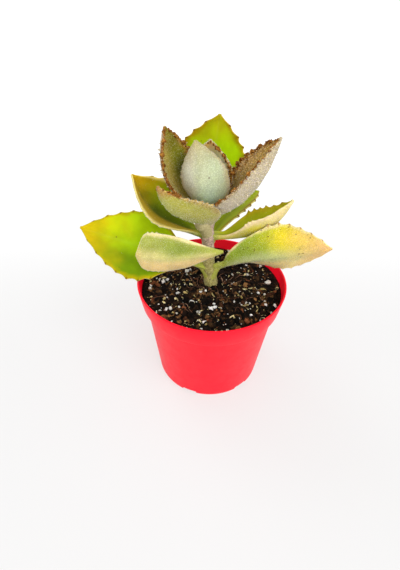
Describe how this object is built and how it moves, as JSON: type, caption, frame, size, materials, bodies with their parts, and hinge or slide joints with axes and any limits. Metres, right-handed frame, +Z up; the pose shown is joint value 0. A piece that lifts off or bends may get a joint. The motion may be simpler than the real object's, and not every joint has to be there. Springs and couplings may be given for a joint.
{
  "type": "potted kalanchoe",
  "caption": "Young felt-leaved kalanchoe with opposite toothed leaves and a closed leaf bud, standing in growing mix in a round stepped-collar plastic nursery pot.",
  "frame": {"origin": "middle of the pot's foot, on the surface that the pot stands on", "axes": "+Z up along the pot's axis, -Y towards the front, +X to the right seen from the front"},
  "size_m": [0.1431, 0.09, 0.1581],
  "materials": {
    "pot_plastic": "satin",
    "growing_mix": "matte",
    "stem_felt": "matte",
    "lime_leaf": "satin",
    "felt_leaf": "matte"
  },
  "bodies": {
    "root": {"pot": "pot_plastic", "soil": "growing_mix", "stem": "stem_felt", "leaf_low_left": "lime_leaf", "leaf_low_right": "felt_leaf", "leaf_front": "felt_leaf", "leaf_back_right": "lime_leaf", "leaf_mid_left": "lime_leaf", "leaf_mid_right": "lime_leaf", "leaf_front_left": "felt_leaf", "leaf_back": "lime_leaf", "leaf_top_left": "lime_leaf", "leaf_top_right": "felt_leaf", "bud_leaf_front": "felt_leaf", "bud_leaf_back": "lime_leaf"}
  },
  "joints": []
}
